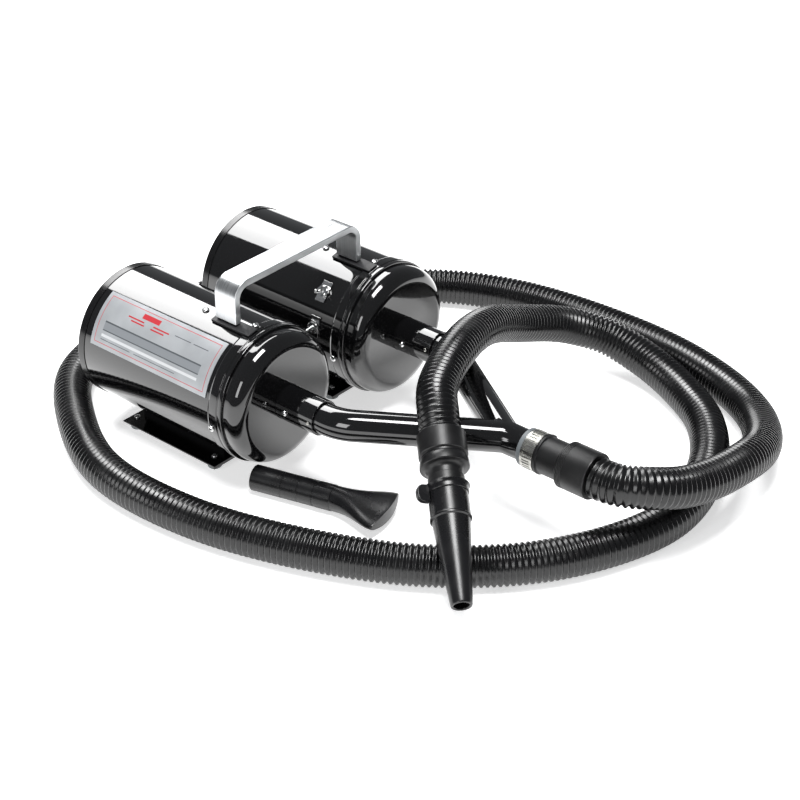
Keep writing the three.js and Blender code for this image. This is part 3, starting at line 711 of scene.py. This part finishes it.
def hexagon_nut(radius, low, high):
    bm = bmesh.new()
    bmesh.ops.create_cone(bm, cap_ends=True, segments=6, radius1=radius * MM, radius2=radius * MM,
                          depth=(high - low) * MM,
                          matrix=Matrix.Translation((0, 0, (low + high) / 2 * MM)))
    return eased(bm, 0.35)


def lever_arm():
    bm = spun([
        (0, -2.2), (1.1, -1.9), (1.9, -1.1), (2.2, 0), (1.9, 1.1), (1.3, 2.2), (1.7, 6), (2.3, 11.3),
        (2.25, 12.4), (1.8, 13.2), (1.0, 13.65), (0, 13.8),
    ], 32)
    bmesh.ops.rotate(bm, matrix=Matrix.Rotation(math.pi / 2, 3, "X"), verts=bm.verts)
    bmesh.ops.rotate(bm, matrix=Matrix.Rotation(math.radians(-23), 3, "Y"), verts=bm.verts)
    bmesh.ops.translate(bm, vec=(0, 0, 79.2 * MM), verts=bm.verts)
    return bm


for name, degrees, y in (("upper", 137, 89), ("lower", 167, 87)):
    place = on_canister(1, degrees, y)
    crate = eased(block((-7, 7), (-14, 14), (54, 72)), 0.8)
    body = added(crate, threaded_bush(), hexagon_nut(8.2, 77.6, 79.8))
    piece(f"toggle_switch_{name}", body, CHROME, [f"switch_body_{name}"], place=place)
    plate = eased(block((-12, 12), (-6.5, 6.5), (76.3, 77.3)), 0.3)
    piece(f"toggle_washer_{name}", plate, CHROME, [f"switch_plate_{name}"], place=place)
    piece(f"toggle_arm_{name}", lever_arm(), CHROME, [f"toggle_lever_{name}"],
          body=f"lever_{name}", place=place)

# %% [markdown]
# ## Y pipe
# Two bent tubes meet on the middle line and are welded to the outlet tube. Each is a circle
# that is extruded along its line, ring by ring, and the three are joined by a Boolean union,
# which leaves the mitred seam that a welder would.

# %% Y pipe
def tube_along(line, radius, sides=64):
    """A capped tube: a circle extruded from point to point of a line in one plane."""
    bm = bmesh.new()
    points = [Vector(p) * MM for p in line]
    for k, point in enumerate(points):
        ahead = (points[min(k + 1, len(points) - 1)] - points[max(k - 1, 0)]).normalized()
        stand = Matrix.Translation(point) @ Vector((0, 0, 1)).rotation_difference(ahead).to_matrix().to_4x4()
        if k == 0:
            ring = bmesh.ops.create_circle(bm, cap_ends=False, segments=sides, radius=radius * MM,
                                           matrix=stand)["verts"]
            edges = list({e for v in ring for e in v.link_edges})
            bmesh.ops.contextual_create(bm, geom=edges)
        else:
            grown = bmesh.ops.extrude_edge_only(bm, edges=edges)["geom"]
            ring = [g for g in grown if isinstance(g, bmesh.types.BMVert)]
            edges = [g for g in grown if isinstance(g, bmesh.types.BMEdge)]
            bmesh.ops.transform(bm, matrix=stand @ last.inverted(), verts=ring)
        last = stand
    bmesh.ops.contextual_create(bm, geom=edges)
    bmesh.ops.recalc_face_normals(bm, faces=bm.faces)
    return bm


def arm_line(side):
    corner, enter = Vector((side * 94.5, -51, 92)), Vector((side * 94.5, -33, 92))
    slant = Vector((-side * 94.5, -145, 0)).normalized()
    leave = corner + slant * 18
    line = [Vector((side * 94.5, 12, 92))]
    for k in range(17):
        t = k / 16
        line.append(enter * (1 - t) ** 2 + corner * 2 * t * (1 - t) + leave * t * t)
    return line + [Vector((0, -196, 92))]


left_arm, right_arm = tube_along(arm_line(-1), 17), tube_along(arm_line(1), 17)
outlet_tube = tube_along([(0, -184, 92), (0, -220, 92), (0, -264.9, 92)], 17)
y_pipe = combined(combined(left_arm, right_arm, "UNION"), outlet_tube, "UNION")
piece("y_pipe", y_pipe, ENAMEL, ["y_manifold"])

# %% [markdown]
# ## Clamp and machine cuff
# A translucent seal ring sits behind a stainless worm-drive clamp, which holds the hose's cuff
# to the pipe. The worm bites into slots pressed round the band: every other face of the band's
# middle is pushed in.

# %% Outlet pieces
def clamp_strip():
    bm = spun([
        (20.3, -244), (21.2, -244), (21.2, -241), (21.2, -232), (21.2, -229), (20.3, -229),
    ], 72, closed=True)
    middle = [f for f in bm.faces if abs(f.calc_center_median().y + 236.5 * MM) < 1 * MM
              and f.calc_center_median().xz.length > 21 * MM]
    middle.sort(key=lambda f: math.atan2(f.calc_center_median().z, f.calc_center_median().x))
    pressed = bmesh.ops.inset_individual(bm, faces=middle[::2], thickness=0.25 * MM,
                                         depth=-0.75 * MM)
    print("clamp slots:", len(pressed["faces"]) // 4)
    return bm


def clamp_house():
    return eased(block((20.8, 32), (-242.5, -230.5), (-15, -1)), 1.2, 3)


def clamp_bolt():
    bm = hexagon_nut(4.2, -0.5, 4.6)
    return combined(bm, block((-5, 5), (-0.6, 0.6), (3.2, 6)), "DIFFERENCE")


def hose_cuff():
    outline = [(17.3, -232), (20, -232), (20, -245), (21.6, -245.6), (21.6, -247.8), (20, -248.4),
               (20, -271.6), (21, -272), (22.2, -272.4)]
    for k in range(4):
        y = -274.5 - k * 1.8
        outline += [(24.7, y), (24.7, y - 0.9), (24.2, y - 1.1), (24.2, y - 1.6)]
    outline += [(24.7, -282), (24.7, -308), (24.2, -309), (12, -309), (12, -265.3), (17.3, -265.3)]
    return eased(spun(outline, 96, closed=True), 0.2)


outlet = Matrix.Translation((0, 0, AXIS_Z * MM))
seal = eased(spun([(17.3, -228.6), (20.5, -228.6), (20.5, -223.6), (17.3, -223.6)], 72, closed=True),
             0.8, 3)
piece("pipe_seal", seal, SEAL_RUBBER, ["seal_ring"], place=outlet)
piece("clamp_strip", added(clamp_strip(), clamp_house()), STAINLESS,
      ["hose_clamp_band"], place=outlet)
piece("clamp_bolt", clamp_bolt(), STAINLESS, ["clamp_screw"], body="clamp_worm",
      place=outlet @ Matrix.Translation((26.4 * MM, -236.5 * MM, 0)))
machine_cuff = piece("hose_cuff", hose_cuff(), CUFF_PLASTIC, ["machine_cuff"],
                     place=outlet)

# %% [markdown]
# ## Cone nozzle
# The hose ends in a moulded cuff with a groove and a flared skirt. A locking collar with a wing
# turns on it and holds the tapered cone. All three share one slanted axis, so they are spun about Y
# and then turned on to it.

# %% Cone nozzle
nozzle_place = (Matrix.Translation(NOZZLE_START)
                @ Vector((0, 1, 0)).rotation_difference(NOZZLE_AXIS).to_matrix().to_4x4())


def nozzle_socket():
    return eased(spun([
        (12, 10), (24.2, 10), (25, 11), (25, 34), (24.2, 34.8), (22.8, 35.2), (22.8, 37.6),
        (23.6, 38.2), (24.5, 40), (25, 43.6), (25.2, 47.4), (24.6, 48.4), (22.2, 48.8), (20, 49.8),
        (18.4, 51.6), (17.5, 53.6), (17.5, 59), (18.5, 59.4), (18.5, 68.7), (12, 68.7),
    ], 96, closed=True), 0.3)


def winged_collar():
    ring = eased(spun([(15, 69), (22.5, 69), (22.7, 69.7), (21.5, 71.8), (21, 73.4), (21, 77),
                       (20.4, 77.7), (15, 77.7)], 96, closed=True), 0.2)
    wing = block((-3.2, 3.2), (69.2, 88), (20.6, 33))
    outer = [e for e in wing.edges if abs(e.verts[0].co.x - e.verts[1].co.x) > 5 * MM
             and e.verts[0].co.z > 30 * MM]
    bmesh.ops.bevel(wing, geom=outer, offset=7 * MM, offset_type="OFFSET", affect="EDGES",
                    segments=8, profile=0.5, clamp_overlap=True)
    wing = eased(wing, 1.0, 3, fold=60)
    bmesh.ops.rotate(wing, matrix=Matrix.Rotation(math.radians(12), 3, "Y"), verts=wing.verts)
    return added(ring, wing)


def cone_shape():
    outline = [(13.5, 78), (20, 78), (20, 103), (20.8, 104), (20.8, 106), (19, 107)]
    outline += [(19 - 8 * k / 12, 107 + 89 * k / 12) for k in range(1, 12)]
    outline += [(11, 196), (10.4, 197.6), (9.4, 198), (8.2, 197.7), (7.6, 196.8), (7.6, 190)]
    outline += [(16, 112), (13.5, 108)]
    return eased(spun(outline, 96, closed=True), 0.25)


nozzle_cuff = piece("nozzle_socket", nozzle_socket(), CUFF_PLASTIC,
                    ["nozzle_cuff"], place=nozzle_place)
collar = piece("winged_collar", winged_collar(), NOZZLE_PLASTIC,
               ["locking_collar"], body="collar", place=nozzle_place)
cone = piece("blowing_cone", cone_shape(), NOZZLE_PLASTIC, ["cone_nozzle"],
             body="cone", place=nozzle_place)

# %% [markdown]
# ## Flat nozzle
# The loose nozzle is a round socket that flattens into a wide slot. A ring of points is
# extruded along it, and each new ring is squeezed a little more, once for the outside and once
# for the bore. The two ends are bridged, so that the wall is closed, and the mouth is bowed.

# %% Flat nozzle
def squeezed_loop(bm, sections, sides=64):
    """Extrudes a ring through (y, half width, half height) sections and returns both ends."""
    ring = bmesh.ops.create_circle(bm, segments=sides, radius=1,
                                   matrix=Matrix.Rotation(math.pi / 2, 4, "X"))["verts"]
    edges = list({e for v in ring for e in v.link_edges})
    y, wide, high = sections[0]
    bmesh.ops.scale(bm, vec=(wide * MM, 1, high * MM), verts=ring)
    bmesh.ops.translate(bm, vec=(0, y * MM, 0), verts=ring)
    first = edges
    for (y0, w0, h0), (y1, w1, h1) in zip(sections, sections[1:]):
        grown = bmesh.ops.extrude_edge_only(bm, edges=edges)["geom"]
        ring = [g for g in grown if isinstance(g, bmesh.types.BMVert)]
        edges = [g for g in grown if isinstance(g, bmesh.types.BMEdge)]
        bmesh.ops.scale(bm, vec=(w1 / w0, 1, h1 / h0), verts=ring)
        bmesh.ops.translate(bm, vec=(0, (y1 - y0) * MM, 0), verts=ring)
    return first, edges


def flat_nozzle():
    bm = bmesh.new()
    outer = [(0, 13.6, 13.6), (0.6, 14.2, 14.2)]
    for step in (36, 55):
        outer += [(step - 0.5, 14.2, 14.2), (step, 13.8, 13.8), (step + 0.8, 13.8, 13.8),
                  (step + 1.3, 14.2, 14.2)]
    outer += [(73, 14.2, 14.2), (73.3, 13.7, 13.7), (75, 13.7, 13.7), (75.4, 14.4, 14.4),
              (93.4, 14.4, 14.4), (94, 13.8, 13.8)]
    spread = [(100, 14.6, 13.5), (106, 15.8, 13.0), (114, 18.7, 12.2), (122, 22.5, 11.1),
              (130, 26.7, 10.0), (138, 30.8, 9.0), (146, 33.6, 8.2), (152, 34.4, 7.8)]
    outer += spread + [(155.4, 34.5, 7.8), (156, 34.0, 7.4)]
    inner = [(0, 11.9, 11.9), (0.6, 11.5, 11.5), (92, 11.5, 11.5)]
    inner += [(y, wide - 2.2, high - 2) for y, wide, high in spread]
    inner += [(155.4, 32.3, 5.8), (156, 32.7, 6.2)]
    ends = [squeezed_loop(bm, sections) for sections in (outer, inner)]
    for k in (0, 1):
        bmesh.ops.bridge_loops(bm, edges=ends[0][k] + ends[1][k])
    for vert in bm.verts:
        if vert.co.y > 140 * MM:
            share = (vert.co.y / MM - 140) / 16
            vert.co.y += share * (2 - 6 * (vert.co.x / (34.5 * MM)) ** 2) * MM
    bmesh.ops.recalc_face_normals(bm, faces=bm.faces)
    return bm


flat_turn = math.atan2(-0.961, 0.275) - math.pi / 2
piece("fan_nozzle", flat_nozzle(), NOZZLE_PLASTIC, ["flat_nozzle"],
      body="spare_nozzle",
      place=Matrix.Translation((-0.1393, 0.0295, 0.0146)) @ Matrix.Rotation(flat_turn, 4, "Z"))

# %% [markdown]
# ## Rubber for the wires
# A gland low on the right canister lets the mains lead in, and a sleeve between the canisters
# carries the wires of the left motor. Both are ribbed black rubber.

# %% Gland and sleeve
def ribbed_gland():
    outline = [(3.6, 71.8), (9, 71.8), (9, 73.4), (7, 73.4), (7, 76.3), (9, 76.3), (9, 79)]
    for k in range(4):
        radius = 8.4 - k * 0.8
        outline += [(radius, 79.4 + k * 2.2), (radius - 0.2, 80.6 + k * 2.2), (radius - 1, 80.9 + k * 2.2),
                    (radius - 1, 81.5 + k * 2.2)]
    outline += [(5.2, 88.3), (3.6, 88.3)]
    bm = spun(outline, 48, closed=True)
    bmesh.ops.rotate(bm, matrix=Matrix.Rotation(math.pi / 2, 3, "X"), verts=bm.verts)
    return bm


def wire_sleeve():
    outline = [(4, -25), (6, -25), (6, -19.2), (8.5, -19.2), (8.5, -17)]
    for k in range(7):
        y = -15 + k * 4.4
        outline += [(6, y - 0.6), (6, y + 1.6), (5.3, y + 2), (5.3, y + 3)]
    outline += [(6, 16.6), (8.5, 17), (8.5, 19.2), (6, 19.2), (6, 25), (4, 25)]
    bm = spun(outline, 48, closed=True)
    bmesh.ops.rotate(bm, matrix=Matrix.Rotation(math.pi / 2, 3, "Z"), verts=bm.verts)
    return bm


piece("mains_gland", ribbed_gland(), PAD_RUBBER, ["cord_gland"],
      place=on_canister(1, -60, 228))
piece("wire_sleeve", wire_sleeve(), PAD_RUBBER, ["wire_conduit"],
      place=Matrix.Translation((0, 0.228, 0.070)))

# %% [markdown]
# ## Pieces inside
# The motors, their rubber mounts, the filters and the sleeve rivets keep their measured shape.
# They are seen only through the grilles, so they just need the right finish.

# %% Inside finishes
INSIDE = {"motor_housing": CAST, "motor_rotor": WINDING, "motor_mount": PAD_RUBBER,
          "filter": FILTER_FOAM, "sleeve_rivet": STAINLESS}
for node_name, finish in INSIDE.items():
    for name in ("left", "right"):
        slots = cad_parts[f"{node_name}_{name}"].data.materials
        slots.clear()
        slots.append(finish)
print("finished inside pieces:", 2 * len(INSIDE))

# %% [markdown]
# ## Floor and light
# A white floor, lit from inside like a light table, runs well past the view. One long softbox
# behind and above the canisters draws the white stripe along them, a weaker one fills from the
# camera's left, and a wide one overhead keeps the floor white. The room itself is dim, so that
# the enamel stays black.

# %% Studio
floor_bm = bmesh.new()
bmesh.ops.create_grid(floor_bm, x_segments=8, y_segments=8, size=6)
floor_mesh = bpy.data.meshes.new("floor")
floor_bm.to_mesh(floor_mesh)
floor_bm.free()
floor = bpy.data.objects.new("floor", floor_mesh)
scene.collection.objects.link(floor)
floor_finish, _, floor_shader, _ = new_finish("matt_white_sweep")
floor_shader.inputs["Base Color"].default_value = colour("#f4f4f4")
floor_shader.inputs["Roughness"].default_value = 0.8
floor_shader.inputs["Emission Color"].default_value = colour("#ffffff")
floor_shader.inputs["Emission Strength"].default_value = 0.6
floor_mesh.materials.append(floor_finish)

world = bpy.data.worlds.new("dim_studio")
world.use_nodes = True
world.node_tree.nodes["Background"].inputs["Color"].default_value = colour("#c9ccd0")
world.node_tree.nodes["Background"].inputs["Strength"].default_value = 0.3
scene.world = world
scene.view_settings.view_transform = "Standard"


def softbox(name, spot, aim, along, size, watts):
    """A rectangular light whose first side runs along a direction."""
    light = bpy.data.lights.new(name, "AREA")
    light.shape = "RECTANGLE"
    light.size, light.size_y = size
    light.energy = watts
    lamp = bpy.data.objects.new(name, light)
    back = (Vector(spot) - Vector(aim)).normalized()
    up = back.cross(Vector(along)).normalized()
    axes = Matrix((up.cross(back), up, back)).transposed().to_4x4()
    lamp.matrix_world = Matrix.Translation(spot) @ axes
    scene.collection.objects.link(lamp)


softbox("stripe_box", (0.59, 1.42, 1.72), (0, 0.1, 0.1), (1.5, 0, -0.58), (1.6, 0.9), 48)
softbox("overhead_box", (-0.5, -0.5, 5.0), (0, 0.3, 0), (1, 0, 0), (2.0, 2.0), 300)
softbox("left_fill", (-2.6, -0.4, 1.3), (0, 0, 0.1), (0, 1, 0), (0.8, 1.2), 18)
